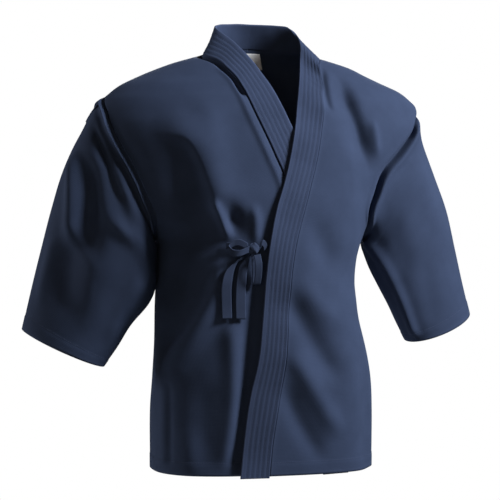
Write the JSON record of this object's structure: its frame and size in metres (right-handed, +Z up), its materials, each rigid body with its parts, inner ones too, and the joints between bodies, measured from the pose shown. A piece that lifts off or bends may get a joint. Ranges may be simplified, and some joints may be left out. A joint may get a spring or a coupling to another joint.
{
  "type": "kendo jacket",
  "caption": "Worn form of a wrap-over cotton practice jacket with wide sleeves, a stitched collar band and a tied bow, left front over right.",
  "frame": {"origin": "midway between the two side neck points, where the jacket rests on the wearer", "axes": "+X to the wearer's left, +Y to the back, +Z up"},
  "size_m": [0.818, 0.2707, 0.7817],
  "materials": {
    "cloth": "matt indigo cotton with a close weave",
    "collar_band": "matt indigo cotton, folded and stitched lengthwise in rows",
    "tape": "flat indigo cotton tape",
    "label": "plain white woven label"
  },
  "bodies": {
    "root": {"body_right": "cloth", "body_left": "cloth", "sleeve_right": "cloth", "sleeve_left": "cloth", "collar": "collar_band", "label": "label", "tie_knot": "tape", "tie_left_lead": "tape", "tie_right_lead": "tape", "tie_left_loop": "tape", "tie_right_loop": "tape", "tie_left_tail": "tape", "tie_right_tail": "tape"}
  },
  "joints": []
}
